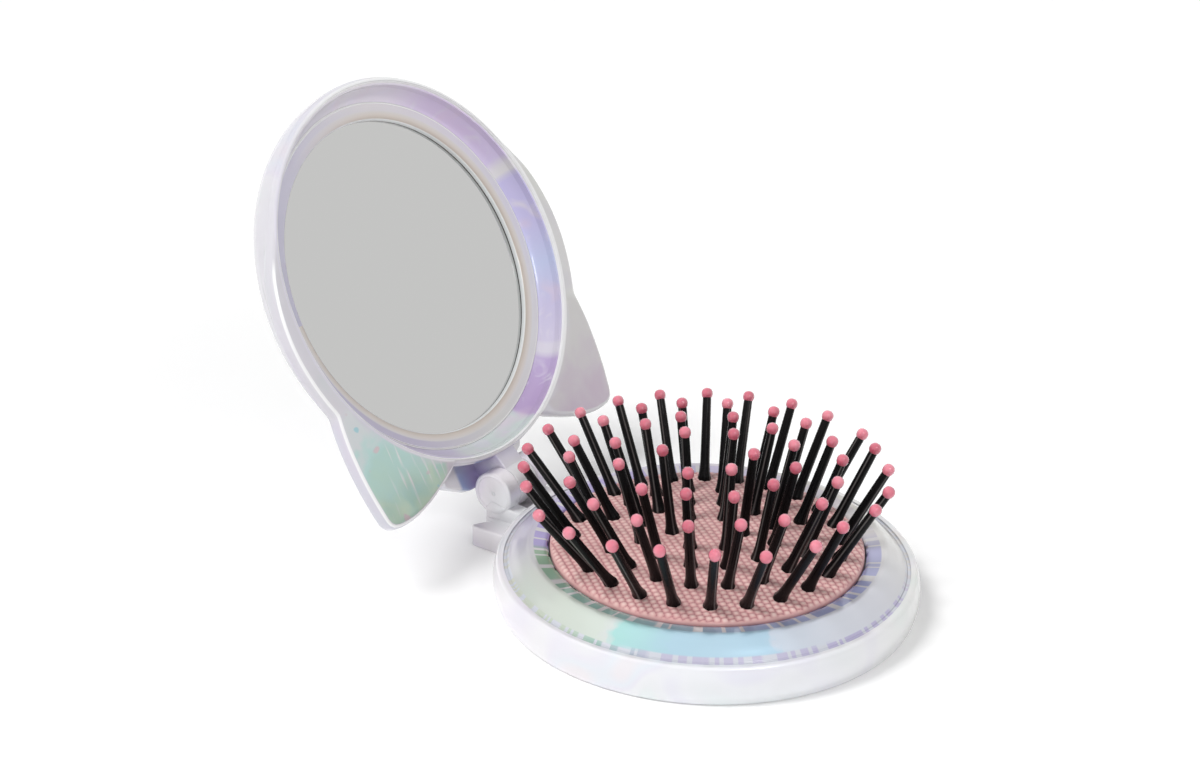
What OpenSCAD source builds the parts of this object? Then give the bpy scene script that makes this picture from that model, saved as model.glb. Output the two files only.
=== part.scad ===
// Folding hairbrush with mirror. A round base holds a brush pad that rises and
// sinks, and a lid with two ear-shaped corners holds a round mirror. A pinned
// hinge at the back joins them. All sizes are in millimetres.
//
// +Z is up, the origin is the centre of the base's underside, and the hinge
// axis runs along X at the back, on +Y. The lid is drawn shut, then turned open
// about the hinge. The brush pad is drawn raised.

/* [Case] */
// Outer diameter of the base
case_d = 85; // [78:0.5:94]
// How far the lid's side stands in from the base's
lid_step = 1.1; // [0.6:0.1:1.4]
// Thickness of the base's side wall at the lip
base_wall = 1.9; // [1.6:0.1:2.4]
// Thickness of the lid's side wall at the rim
lid_wall = 1.1; // [1:0.1:1.6]
// Thickness of the base's floor
floor_t = 1.5; // [1.2:0.1:2.5]
// How far the base's side bulges past its edges
side_bulge = 0.6; // [0.3:0.1:1.2]
// Height of the base's widest line above its underside
widest_h = 4; // [3.5:0.1:4.4]
// Radius on the edges of the case
edge_r = 0.8; // [0.3:0.1:1]
// Gap between the base's lip and the rim of the shut lid
part_gap = 0.2; // [0.1:0.05:0.4]
// Width of the groove between the lip and the bezel
groove_w = 1; // [0.6:0.1:1.5]
// Depth of that groove
groove_depth = 0.8; // [0.4:0.1:1.2]
// Height of the bezel's ridge above the pad's stop
ridge_h = 2.4; // [2.2:0.1:3]

/* [Brush pad] */
// Width of the base's band, from its side in to the rubber cushion
base_band = 11.3; // [10.6:0.1:12.4]
// How far the pad sinks into the base
travel = 6; // [4:0.1:8]
// Height of the cushion's middle above the carrier
cushion_h = 4.9; // [4.4:0.1:5.4]
// Height of the cushion's edge above the carrier
cushion_edge_h = 3.1; // [2.6:0.1:3.6]
// Thickness of the rubber
rubber_t = 1.3; // [1:0.1:1.7]
// Thickness of the carrier plate
carrier_t = 1; // [0.8:0.1:2]
// How far the carrier's flange reaches under the bezel
flange_lap = 1.8; // [1.4:0.1:2.2]
// Diameter of the finger hole in the underside
finger_d = 40; // [30:1:46]
// Thickness of the push button
button_t = 1.2; // [0.8:0.1:2]

/* [Bristles] */
// Number of rings of bristles
rings = 4; // [1:1:4]
// Radius of the innermost ring on the cushion
first_ring_r = 7; // [6.5:0.1:7.2]
// Distance of the outermost possible ring from the cushion's edge
ring_edge = 4.7; // [4.4:0.1:5.4]
// Lean of the outermost possible ring, away from the middle
lean_max = 31.3; // [20:0.1:33]
// Length from the cushion to the middle of the ball tip
bristle_len = 17.9; // [14:0.1:18.5]
// Diameter of a bristle where its foot ends
bristle_d = 1.8; // [1.5:0.1:2.1]
// Diameter of a bristle inside its ball tip
bristle_end_d = 1.56; // [1.2:0.02:1.7]
// Diameter of a bristle's foot in the cushion
foot_d = 2.7; // [2.3:0.1:3]
// Diameter of the ball tips
ball_d = 2.3; // [2.1:0.1:2.8]

/* [Mirror] */
// Width of the lid's band, from the base's side in to the mirror glass
mirror_band = 7.8; // [7.2:0.1:9.5]
// Thickness of the mirror glass
glass_t = 1.3; // [1:0.1:1.8]
// Depth of the mirror's face below the lid's rim
mirror_depth = 6.85; // [6.6:0.05:8]
// Height of the ring round the mirror, from its face to the glass
ring_h = 1.65; // [1.4:0.05:2.1]
// How far the ring's lip covers the edge of the glass
glass_lap = 1.1; // [0.6:0.1:1.6]
// Thickness of the adhesive foam tape behind the glass
tape_t = 1.3; // [0.6:0.1:1.8]
// Thickness of the lid's crown over the middle of the mirror
crown_t = 2.5; // [2.2:0.1:3.5]

/* [Ears] */
// How far the middle of each ear's tip stands out past the base's side
ear_out = 12.2; // [8:0.1:14]
// Turn of each ear's tip from the hinge axis's direction
ear_turn = 48.5; // [44:0.1:52]
// Radius of each ear's tip
ear_tip_r = 2.8; // [2.2:0.1:4]
// Thickness of the ears
ear_t = 3.2; // [2.8:0.1:5]
// How far the cheeks beside the ears stand out past the lid's side
cheek_w = 2.75; // [1.5:0.05:3.2]

/* [Hinge] */
// Distance of the hinge axis behind the case's side
hinge_back = 5.6; // [5.3:0.1:6.5]
// Height of the hinge axis above the base's lip
hinge_up = 2.3; // [2:0.1:3]
// Diameter of the hinge knuckles
knuckle_d = 9.4; // [8.6:0.1:9.8]
// Width of the three knuckles together
hinge_w = 13.6; // [12:0.1:16]
// Width of the lid's middle knuckle
mid_knuckle_w = 6.2; // [5:0.1:7]
// Diameter of the hinge pin
pin_d = 2; // [1.6:0.1:2.6]
// How far the lid turns from shut to its stop
open_angle = 118; // [100:1:120]
// Width of the foot under the hinge
foot_w = 24; // [20:0.5:28]
// How far the foot reaches back past the case's side
foot_back = 7.5; // [6.5:0.1:8.5]

/* [Fits] */
// Gap round the cushion in the bezel's hole
pad_gap = 0.3; // [0.2:0.05:0.5]
// Gap round parts that slide or turn beside each other
side_gap = 0.3; // [0.2:0.05:0.4]
// Gap at each end of the pad's travel
end_gap = 0.2; // [0.1:0.05:0.4]
// Gap between parts that are snapped together
snap_gap = 0.15; // [0.05:0.05:0.25]
// Clearance of the pin's radius in the base's knuckles
pin_press = 0.01; // [0.01:0.01:0.03]
// Clearance of the pin's radius in the lid's knuckle
pin_run = 0.06; // [0.03:0.01:0.1]
// Clearance of a bristle's radius in the cushion and in its ball tip
bristle_fit = 0.03; // [0.02:0.01:0.06]

/* [Hidden] */
$fn = 96;
eps = 0.01;
curve_steps = 10;

// Base, from the floor up
case_r = case_d / 2;
edge_rad = case_r - side_bulge;
stop_z = floor_t + 2 * end_gap + travel + carrier_t; // pad's stop under the bezel
lip_drop = 0.9;
base_h = stop_z - lip_drop;
lip_in_r = case_r - base_wall;
bezel_r = lip_in_r - groove_w;
bezel_seat_h = 2;
bezel_seat_w = 1.2;
bezel_skin = 1.4;
finger_r = finger_d / 2;

// Brush pad
pad_r = case_r - base_band;
hole_r = pad_r + pad_gap;
flange_r = pad_r + flange_lap;
guide_r = flange_r + side_gap;
guide_wall = 1.4;
ridge_r = guide_r + guide_wall + 0.3;
carrier_z = stop_z - end_gap; // top of the raised carrier
head_t = 0.5;
head_r = 2;
foam_z = carrier_z + head_t;
rubber_edge_r = 1.7; // run of the cushion's rounded edge
button_gap = 0.3;
stub_d = 12;

// Bristles: every ring has six more than the one inside it
bristles_per_step = 6;
foot_stand = 0.3; // height of the straight part of the foot over the cushion
foot_run = 4; // length over which the foot narrows
tip_wall = 0.2; // how far a bristle's end stays below the middle of its ball
ring_starts = [3, 18, 3, 3];
last_ring_r = pad_r - ring_edge;
function ring_r(k) = first_ring_r + (k - 1) * (last_ring_r - first_ring_r) / 3;
function ring_lean(k) = lean_max * ring_r(k) / last_ring_r;

// Lid, drawn shut, from its rim up
rim_z = base_h + part_gap;
lid_r = case_r - lid_step;
lid_edge_in = 0.3; // how far the rim's edge stands in from the widest line
lid_widest_h = 1.3; // height of the widest line above the rim
lid_in_r = lid_r - lid_wall;
mirror_z = rim_z + mirror_depth;
glass_r = case_r - mirror_band;
ceiling_z = mirror_z + glass_t + tape_t;
crown_z = ceiling_z + crown_t;
crown_rise = 0.35;
crown_corner_w = 7.4;
crown_corner_h = crown_z - crown_rise - rim_z - lid_widest_h;
liner_draft = 0.8; // how far the liner's side leans in up to its seat
liner_r = lid_in_r - snap_gap;
liner_seat_h = 4.3; // height of the liner's seat above the rim
liner_seat_w = 0.8;
seat_r = lid_in_r - liner_draft - liner_seat_w;
liner_lip_t = 1.2;
ring_flange_t = 0.85;
ring_lip_h = 0.75; // height of the ring's lip below its face
ring_face_z = mirror_z - ring_h;
frame_w = seat_r - glass_r; // room for the mirror's ring beside the glass
ring_r_out = glass_r + 0.64 * frame_w;
ring_flange_r = glass_r + 0.83 * frame_w;
ring_bore_r = glass_r - glass_lap;
glass_gap = 0.2;
tape_margin = 2.6;

// Hinge
hinge_y = case_r + hinge_back;
hinge_z = base_h + hinge_up;
knuckle_r = knuckle_d / 2;
foot_h = hinge_z - knuckle_r - 0.8;
foot_y = case_r + foot_back;
foot_notch = 3.1; // depth of the notch beside each neck
foot_corner = 0.6;
neck_drop = 0.4; // how far the necks stay under the lip
hood_gap = 0.6;
hood_z = hinge_z + knuckle_r + hood_gap;
hood_t = 3;
hood_y = hinge_y - 1.9;
hood_w = foot_w + 2;
knuckle_gap = 0.1; // on each side of the middle knuckle
stop_gap = 0.1; // between the lid's stop lug and the foot
stop_lug_h = hinge_z - foot_h - stop_gap; // reach of the lug from the axis
stop_lug_w = mid_knuckle_w - 1.2;
stop_lug_t = 2;
pin_recess = 0.4;
root_in = 3; // how far parts of the case are rooted inside its walls
cheek_slope = 2.3; // height of the cheek's slope behind the ears

// A point at an angle on a circle round the origin
function polar(r, a) = r * [cos(a), sin(a)];

// Points of an arc
function arc(c, r, a0, a1, n = curve_steps) =
    [for (i = [0:n]) c + polar(r, a0 + (a1 - a0) * i / n)];

// Points of a quarter of an ellipse, from its side to its top
function quarter(c, w, h, n = curve_steps) =
    [for (i = [0:n]) c + [w * cos(90 * i / n), h * sin(90 * i / n)]];

// Points of a cubic Bezier curve
function bezier(p, n = curve_steps) =
    [for (i = [0:n]) let (t = i / n, s = 1 - t)
        s * s * s * p[0] + 3 * s * s * t * p[1] + 3 * s * t * t * p[2] + t * t * t * p[3]];

// Points of the base's bulging side from z0 up to z1
function side(z0, z1, n = curve_steps) =
    [for (i = [0:n]) let (z = z0 + (z1 - z0) * i / n, u = (z - widest_h) / (widest_h - edge_r))
        [case_r - side_bulge * u * u, z]];

// Height of the cushion's top surface at a radius
function cushion_z(r) =
    carrier_z + cushion_h - (cushion_h - cushion_edge_h) * pow(r / (pad_r - rubber_edge_r), 2);

// Section of a dome on a straight side, from its middle to its foot at z0
function pad_section(inset, z0) =
    let (r = pad_r - rubber_edge_r)
    concat(
        [[0, z0]],
        [for (i = [0:curve_steps]) let (x = r * i / curve_steps) [x, cushion_z(x) - inset]],
        [[pad_r - inset - 0.45, cushion_z(r) - inset - 0.45]],
        [[pad_r - inset, cushion_z(r) - inset - 1.2], [pad_r - inset, z0]]);

// Moves a lid part from shut to open
module opened()
    translate([0, hinge_y, hinge_z]) rotate([-open_angle, 0, 0])
    translate([0, -hinge_y, -hinge_z]) children();

// Extrudes a section drawn as [y, z] along X, between x0 and x1
module along_x(x0, x1)
    translate([x0, 0, 0]) rotate([90, 0, 90]) linear_extrude(x1 - x0) children();

// A bar along the hinge axis
module axis_bar(r, x0, x1)
    translate([x0, hinge_y, hinge_z]) rotate([0, 90, 0]) cylinder(r = r, h = x1 - x0);

// ---- Base ----

module base_body() {
    section = concat(
        [[finger_r, 0], [edge_rad - edge_r, 0]],
        arc([edge_rad - edge_r, edge_r], edge_r, -60, 0, 3),
        side(edge_r + 0.1, base_h - edge_r - 0.1),
        arc([edge_rad - edge_r, base_h - edge_r], edge_r, 0, 90, 4),
        [[lip_in_r, base_h],
         [lip_in_r, base_h - bezel_seat_h],
         [lip_in_r - bezel_seat_w, base_h - bezel_seat_h],
         [lip_in_r - bezel_seat_w, floor_t],
         [guide_r + guide_wall, floor_t],
         [guide_r + guide_wall, stop_z],
         [guide_r, stop_z],
         [guide_r, floor_t],
         [finger_r, floor_t]]);
    rotate_extrude() polygon(section);
}

// Foot under the hinge, whose outer corners reach back
module hinge_foot() {
    half = [[hinge_w / 2, foot_y], [hinge_w / 2, foot_y - foot_notch],
        [foot_w / 2 - foot_corner, foot_y], [foot_w / 2, foot_y - foot_corner],
        [foot_w / 2, case_r - root_in - 2]];
    n = len(half) - 1;
    linear_extrude(foot_h)
        polygon(concat(half, [for (i = [0:n]) [-half[n - i][0], half[n - i][1]]]));
}

// One outer knuckle on its neck
module base_knuckle(x0, x1) {
    axis_bar(knuckle_r, x0, x1);
    along_x(x0, x1)
        polygon([[case_r - root_in, foot_h - 1], [foot_y, foot_h - 1],
            [foot_y, hinge_z - 0.75 * knuckle_r], [hinge_y, hinge_z],
            [hinge_y - 0.68 * knuckle_r, base_h - neck_drop], [case_r - root_in, base_h - neck_drop]]);
}

module base_shell() color("ghostwhite") {
    x_in = mid_knuckle_w / 2 + knuckle_gap;
    difference() {
        union() {
            base_body();
            difference() {
                union() {
                    hinge_foot();
                    base_knuckle(-hinge_w / 2, -x_in);
                    base_knuckle(x_in, hinge_w / 2);
                }
                translate([0, 0, -eps]) cylinder(r = case_r - base_wall / 2 - side_bulge, h = 2 * hinge_z);
            }
        }
        axis_bar(pin_d / 2 + pin_press, -hinge_w, hinge_w);
    }
}

module base_bezel() color("lavender") {
    section = concat(
        [[hole_r, stop_z], [hole_r, stop_z + ridge_h - 0.7]],
        [[hole_r + 0.3, stop_z + ridge_h - 0.4], [ridge_r - 0.7, stop_z + ridge_h - 0.05]],
        [[ridge_r, stop_z + ridge_h], [ridge_r + 0.6, stop_z + ridge_h - 0.25]],
        bezier([[ridge_r + 1.2, stop_z + ridge_h - 0.6],
            [ridge_r + 2.4, stop_z + ridge_h - 1.3],
            [bezel_r - 1.2, base_h + 1.0],
            [bezel_r, base_h + 0.1]], 6),
        [[bezel_r, base_h - groove_depth],
         [lip_in_r - snap_gap, base_h - groove_depth],
         [lip_in_r - snap_gap, base_h - bezel_seat_h],
         [bezel_r - bezel_skin, base_h - bezel_seat_h],
         [bezel_r - bezel_skin, base_h - 0.4],
         [ridge_r + bezel_skin, stop_z + ridge_h - 2 * bezel_skin],
         [ridge_r + 0.4, stop_z]]);
    rotate_extrude() polygon(section);
}

module hinge_pin() color("silver")
    axis_bar(pin_d / 2, -hinge_w / 2 + pin_recess, hinge_w / 2 - pin_recess);

// ---- Brush pad ----

module pad_carrier() color("white")
    translate([0, 0, carrier_z - carrier_t])
    difference() {
        cylinder(r = flange_r, h = carrier_t);
        translate([0, 0, -eps]) cylinder(d = stub_d + 2 * bristle_fit, h = carrier_t + 2 * eps);
    }

module push_button() color("pink") {
    face_z = carrier_z - carrier_t - button_t;
    button_r = finger_r - button_gap;
    difference() {
        union() {
            translate([0, 0, face_z]) cylinder(r = button_r, h = button_t);
            translate([0, 0, face_z + button_t - eps]) cylinder(d = stub_d, h = carrier_t);
        }
        // shallow dish for the fingertip
        translate([0, 0, face_z - 60 + button_t / 3]) sphere(r = 60, $fn = 192);
    }
}

// A shaft in a place in its ring, drawn along its own axis from the cushion's surface
module in_ring(k) {
    n = bristles_per_step * k;
    r = ring_r(k);
    for (i = [0:n - 1])
        rotate([0, 0, ring_starts[k - 1] + 360 * i / n])
        translate([r, 0, cushion_z(r)]) rotate([0, ring_lean(k), 0]) children();
}

// Distance down a bristle's axis from the cushion's surface to the carrier
function root_len(k) = (cushion_z(ring_r(k)) - carrier_z) / cos(ring_lean(k));

module bristle_ring(k) {
    n = bristles_per_step * k;
    r = ring_r(k);
    end = bristle_len - tip_wall;
    intersection() {
        in_ring(k) rotate_extrude()
            polygon([[0, -root_len(k) - 1], [foot_d / 2, -root_len(k) - 1], [foot_d / 2, foot_stand],
                [bristle_d / 2, foot_run], [bristle_end_d / 2, bristle_len - ball_d / 2],
                [bristle_end_d / 2, end], [0, end]]);
        translate([0, 0, carrier_z + head_t / 2]) cylinder(r = case_r, h = bristle_len + cushion_h);
    }
    for (i = [0:n - 1])
        rotate([0, 0, ring_starts[k - 1] + 360 * i / n])
        translate([r - (cushion_z(r) - carrier_z) * tan(ring_lean(k)), 0, carrier_z])
        cylinder(r = head_r, h = head_t);
}

module ball_ring(k)
    in_ring(k) translate([0, 0, bristle_len]) difference() {
        sphere(d = ball_d, $fn = 32);
        translate([0, 0, -ball_d])
            cylinder(d = bristle_end_d + 2 * bristle_fit, h = ball_d - tip_wall + bristle_fit);
    }

module bristle_holes()
    for (k = [1:rings])
        in_ring(k) translate([0, 0, -root_len(k) - 1])
        cylinder(d = foot_d + 2 * bristle_fit, h = root_len(k) + 3);

module cushion_pad() color("#dca09c")
    difference() {
        rotate_extrude() polygon(pad_section(0, carrier_z));
        rotate_extrude() polygon(pad_section(rubber_t, carrier_z - eps));
        bristle_holes();
    }

module cushion_foam() color("mistyrose")
    difference() {
        rotate_extrude() polygon(pad_section(rubber_t + bristle_fit, foam_z));
        bristle_holes();
    }

module bristles_ring_1() color("black") bristle_ring(1);
module bristles_ring_2() color("black") if (rings > 1) bristle_ring(2);
module bristles_ring_3() color("black") if (rings > 2) bristle_ring(3);
module bristles_ring_4() color("black") if (rings > 3) bristle_ring(4);

module ball_tips_ring_1() color("#e0788a") ball_ring(1);
module ball_tips_ring_2() color("#e0788a") if (rings > 1) ball_ring(2);
module ball_tips_ring_3() color("#e0788a") if (rings > 2) ball_ring(3);
module ball_tips_ring_4() color("#e0788a") if (rings > 3) ball_ring(4);

// ---- Lid, drawn shut ----

module lid_body() {
    edge = lid_r - lid_edge_in;
    crown_r = lid_r - crown_corner_w;
    section = concat(
        [[0, rim_z], [edge - edge_r, rim_z]],
        arc([edge - edge_r, rim_z + edge_r], edge_r, -60, 0, 3),
        quarter([crown_r, rim_z + lid_widest_h], crown_corner_w, crown_corner_h, 14),
        [for (i = [1:8]) let (x = crown_r * (1 - i / 8))
            [x, crown_z - crown_rise * pow(x / crown_r, 2)]]);
    rotate_extrude() polygon(section);
}

module lid_cavity() {
    flat_r = glass_r + 0.4 * frame_w;
    seat_z = rim_z + liner_seat_h;
    section = concat(
        [[0, rim_z - 1], [lid_in_r, rim_z - 1], [lid_in_r, rim_z],
         [lid_in_r - liner_draft, seat_z], [seat_r, seat_z]],
        quarter([flat_r, seat_z], seat_r - flat_r, ceiling_z - seat_z, 8),
        [[0, ceiling_z]]);
    rotate_extrude() polygon(section);
}

// Reach of the cheek on +X at an angle, as a share of its full width
cheek_start = -48;
cheek_full = 10;
function cheek(a) =
    (1 - cos(180 * min(1, max(0, (a - cheek_start) / (cheek_full - cheek_start))))) / 2;

// Points of the cheek's side from where it leaves the wall up to the ear
cheek_end = 24.8;
function cheek_side(w, inset) =
    [for (i = [0:12]) let (a = cheek_start + (cheek_end - cheek_start) * i / 12)
        polar(lid_r - 0.5 + (w + 0.5) * cheek(a) - inset, a)];

// Outline of the ear on +X: along the cheek, out to the tip, round it and back in
function ear_outline(inset) =
    let (
        turn_0 = 14, turn_1 = 82, // where the ear's edges meet the tip's arc
        leave = 78, meet = 72, // direction out of the cheek, and where the edge ends
        tip = polar(case_r + ear_out, ear_turn),
        tip_r = ear_tip_r - inset,
        a = polar(lid_r + cheek_w - inset, cheek_end),
        b = tip + polar(tip_r, turn_0),
        c = tip + polar(tip_r, turn_1),
        d = polar(lid_r - 1.9 - inset, meet))
    concat(
        cheek_side(cheek_w, inset),
        bezier([a, a + polar(7, leave), b - polar(7, turn_0 + 90), b]),
        arc(tip, tip_r, turn_0, turn_1, 6),
        bezier([c, c + polar(8.5, turn_1 + 90), d + polar(10.5, 20), d]),
        arc([0, 0], lid_r - root_in, meet - 3, cheek_start, 8));

// Each ear with its cheek: edges rounded off in steps, then the cheek's slope behind
module ear() {
    round_r = 1.2;
    steps = 3;
    for (i = [0:steps - 1]) {
        a = 90 * (i + 0.5) / steps;
        h = round_r * (1 - cos(a));
        translate([0, 0, rim_z + h])
            linear_extrude(ear_t - 2 * h) polygon(ear_outline(round_r * (1 - sin(a))));
    }
    for (i = [1:steps])
        translate([0, 0, rim_z + ear_t / 2])
            linear_extrude(ear_t / 2 + cheek_slope * i / steps)
            polygon(concat(cheek_side(cheek_w * (1 - (i - 0.3) / steps), 0),
                arc([0, 0], lid_r - root_in, cheek_end, cheek_start, 8)));
}

// Hood that covers the knuckles from above
module hinge_hood()
    translate([0, 0, hood_z]) linear_extrude(hood_t)
        polygon([[-hood_w / 2 - 2, case_r - 2 * root_in], [hood_w / 2 + 2, case_r - 2 * root_in],
            [hood_w / 2, case_r + 0.6], [hinge_w / 2, hood_y],
            [-hinge_w / 2, hood_y], [-hood_w / 2, case_r + 0.6]]);

// Middle knuckle, its arm and the lug that stops the lid when open
module lid_knuckle() {
    w = mid_knuckle_w / 2;
    axis_bar(knuckle_r, -w, w);
    along_x(-w, w)
        polygon([[case_r - root_in, rim_z + 0.7],
            [hinge_y - 0.6 * knuckle_r, hinge_z - 0.7 * knuckle_r], [hinge_y, hinge_z],
            [hinge_y, hinge_z + 0.85 * knuckle_r], [hood_y - 0.5, hood_z + 1],
            [case_r - root_in, hood_z + 1]]);
    translate([0, hinge_y, hinge_z]) rotate([open_angle, 0, 0])
        translate([-stop_lug_w / 2, -stop_lug_t / 2, -stop_lug_h])
        cube([stop_lug_w, stop_lug_t, stop_lug_h]);
}

module lid_shell() color("ghostwhite") opened()
    difference() {
        union() {
            lid_body();
            ear();
            mirror([1, 0, 0]) ear();
            hinge_hood();
            lid_knuckle();
        }
        lid_cavity();
        axis_bar(pin_d / 2 + pin_run, -hinge_w, hinge_w);
    }

module lid_liner() color("thistle") opened() {
    back_z = ring_face_z + liner_lip_t;
    seat_z = rim_z + liner_seat_h;
    hole = ring_r_out + snap_gap;
    section = concat(
        [[liner_r, rim_z + 0.1], [liner_r - 0.2, rim_z + 0.1]],
        bezier([[liner_r - 0.3, rim_z + 0.3], [liner_r - 0.6, rim_z + 2.4],
            [hole + 1.2, ring_face_z - 0.7], [hole, ring_face_z]]),
        [[hole, back_z], [ring_flange_r + 0.3, back_z],
         [seat_r - 0.2, seat_z], [liner_r - liner_draft, seat_z]]);
    rotate_extrude() polygon(section);
}

module mirror_ring() color("antiquewhite") opened() {
    back_z = ring_face_z + liner_lip_t;
    flange_back_z = back_z + ring_flange_t;
    pocket_r = glass_r + glass_gap;
    pocket_wall = 0.22 * frame_w;
    section = [[ring_r_out, ring_face_z + 0.1], [ring_r_out - 0.2, ring_face_z],
        [ring_r_out - 0.27 * frame_w, ring_face_z + 0.1],
        [ring_bore_r + 0.6, ring_face_z + 0.6 * ring_lip_h],
        [ring_bore_r, ring_face_z + ring_lip_h], [ring_bore_r, mirror_z],
        [pocket_r, mirror_z], [pocket_r, mirror_z + glass_t],
        [pocket_r + pocket_wall, mirror_z + glass_t],
        [pocket_r + 1.4 * pocket_wall, flange_back_z],
        [ring_flange_r, flange_back_z], [ring_flange_r, back_z], [ring_r_out, back_z]];
    rotate_extrude() polygon(section);
}

module mirror_glass() color("silver") opened()
    translate([0, 0, mirror_z]) cylinder(r = glass_r, h = glass_t);

module mirror_tape() color("dimgray") opened()
    translate([0, 0, mirror_z + glass_t]) cylinder(r = glass_r - tape_margin, h = tape_t);

base_shell();
base_bezel();
hinge_pin();
pad_carrier();
push_button();
cushion_pad();
cushion_foam();
bristles_ring_1();
bristles_ring_2();
bristles_ring_3();
bristles_ring_4();
ball_tips_ring_1();
ball_tips_ring_2();
ball_tips_ring_3();
ball_tips_ring_4();
lid_shell();
lid_liner();
mirror_ring();
mirror_glass();
mirror_tape();
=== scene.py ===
import math
import random

import bmesh
import bpy
from bpy.props import FloatProperty, FloatVectorProperty, IntProperty, PointerProperty
from bpy.types import Operator, Panel, PropertyGroup
from mathutils import Matrix, Vector


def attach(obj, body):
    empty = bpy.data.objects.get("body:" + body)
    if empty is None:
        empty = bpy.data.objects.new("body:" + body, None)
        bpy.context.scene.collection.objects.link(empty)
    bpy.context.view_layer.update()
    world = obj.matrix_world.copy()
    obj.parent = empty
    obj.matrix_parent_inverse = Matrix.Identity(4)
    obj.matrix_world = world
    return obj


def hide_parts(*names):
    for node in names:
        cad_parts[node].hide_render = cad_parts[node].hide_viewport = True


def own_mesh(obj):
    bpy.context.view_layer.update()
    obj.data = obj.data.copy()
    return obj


bl_info = {
    "name": "Folding Hairbrush",
    "version": (1, 0, 0),
    "blender": (4, 5, 0),
    "location": "View3D > Sidebar > Hairbrush",
    "description": "Dresses a folding hairbrush with mirror in pearly plastic, rubber and nylon",
    "category": "Object",
}

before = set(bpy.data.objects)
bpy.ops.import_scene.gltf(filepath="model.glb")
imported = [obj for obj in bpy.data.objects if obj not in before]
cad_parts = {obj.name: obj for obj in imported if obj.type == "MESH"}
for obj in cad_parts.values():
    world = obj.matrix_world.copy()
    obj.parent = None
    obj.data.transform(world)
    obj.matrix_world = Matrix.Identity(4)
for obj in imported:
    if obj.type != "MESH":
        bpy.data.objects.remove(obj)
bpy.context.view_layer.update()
MM = 0.001

# Shared sizes of the case, in millimetres, as the solids have them.
CASE_R = 42.5
LID_R = 41.4
RIM_Z = 8.2
RIM_IN_R = 40.3
EAR_BACK_Z = 11.4
EAR_EDGE_R = 1.0
HINGE_Y, HINGE_Z = 48.1, 10.3
HINGE = Matrix.Translation(Vector((0, HINGE_Y, HINGE_Z)) * MM)
HINGE_STEPS = 64
OPEN_ANGLE = 118.0
CARRIER_Z = 8.7
PAD_R = 31.2
RING_RADII = (7.0, 13.5, 20.0, 26.5)
RING_STARTS = (3.0, 18.0, 3.0, 3.0)
BRISTLES_PER_STEP = 6
OUTER_LEAN, HINGE_LEAN, HINGE_LEAN_TURN = 31.5, 4.0, 120.0
BRISTLE_LENGTH = 17.9
# How thin the painted highlight lines along the bristle shafts are.
HIGHLIGHT_LINE_FINENESS = 24
WEAVE_STEPS, WEAVE_TURN = 236, -52
# For each ring, the height it flattens toward when shut, and the share of its height that it keeps.
RING_SQUASH = ((12.4, 0.13), (12.4, 0.13), (12.4, 0.13), (11.5, 0.01))
# Ovals in the lid's section: the middle's radius and height, then the reach and the rise.
LIP_OVAL = (40.32, 9.0, 0.78, 0.8)
DOME_OVAL = (34.0, 9.5, 7.4, 10.3)
CAVITY_OVAL = (36.3, 12.5, 2.4, 5.15)
# The cushion's top above the carrier: a crown, and outside it a rounded edge.
CROWN_R, CROWN_Z, CROWN_DROP = 29.5, 4.9, 1.8
EDGE_Z, EDGE_RUN, EDGE_DROP = 3.1, 1.7, 1.15
# The camera's azimuth, elevation and roll in degrees, its distance in millimetres, how far the pad
# lies aside and below as shares of that, and its focal length and frame width in pixels.
VIEW_TURNS = (-55.97, 24.26, 0.83)
VIEW_REACH, VIEW_ASIDE, VIEW_BELOW = 420.06, 0.05047, 0.07656
FOCAL_PIXELS, FRAME_PIXELS, SENSOR_WIDTH = 2115.84, 1200, 36.0
LAMP_AIM = (0, 0.02, 0.03)


# ---- Helpers for shapes ----

def opened():
    """The turn that takes a lid part from shut to open."""
    return HINGE @ Matrix.Rotation(math.radians(-OPEN_ANGLE), 4, "X") @ HINGE.inverted()


def along_hinge(side=1):
    """The turn that lays a spun outline along the hinge, its heights running toward +X or -X."""
    return HINGE @ Matrix.Rotation(side * math.pi / 2, 4, "Y")


def polar(radius, degrees):
    turn = math.radians(degrees)
    return Vector((radius * math.cos(turn), radius * math.sin(turn)))


def mix(a, b, share):
    return a + (b - a) * share


def ease(value, low, high):
    """0 below low, 1 above high, and a smooth rise between them."""
    t = min(1.0, max(0.0, (value - low) / (high - low)))
    return t * t * (3 - 2 * t)


def bezier(points, count):
    """Points of a cubic curve with four control points."""
    p = [Vector(q) for q in points]
    found = []
    for i in range(count + 1):
        t = i / count
        s = 1 - t
        found.append(s ** 3 * p[0] + 3 * s * s * t * p[1] + 3 * s * t * t * p[2] + t ** 3 * p[3])
    return found


def rounded(corners, segments=5):
    """An outline from corners (x, y, fillet radius), with each corner rounded off."""
    outline = []
    for i, (x, y, radius) in enumerate(corners):
        here = Vector((x, y))
        before = Vector(corners[i - 1][:2])
        after = Vector(corners[(i + 1) % len(corners)][:2])
        if radius <= 0:
            outline.append(here)
            continue
        to_before, to_after = before - here, after - here
        reach = min(radius, 0.48 * to_before.length, 0.48 * to_after.length)
        start = here + to_before.normalized() * reach
        end = here + to_after.normalized() * reach
        middle = here + (start - here + end - here) * 0.12
        for k in range(segments + 1):
            t = k / segments
            s = 1 - t
            outline.append(s * s * start + 2 * s * t * (here * 0.9 + middle * 0.1) + t * t * end)
    return outline


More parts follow.
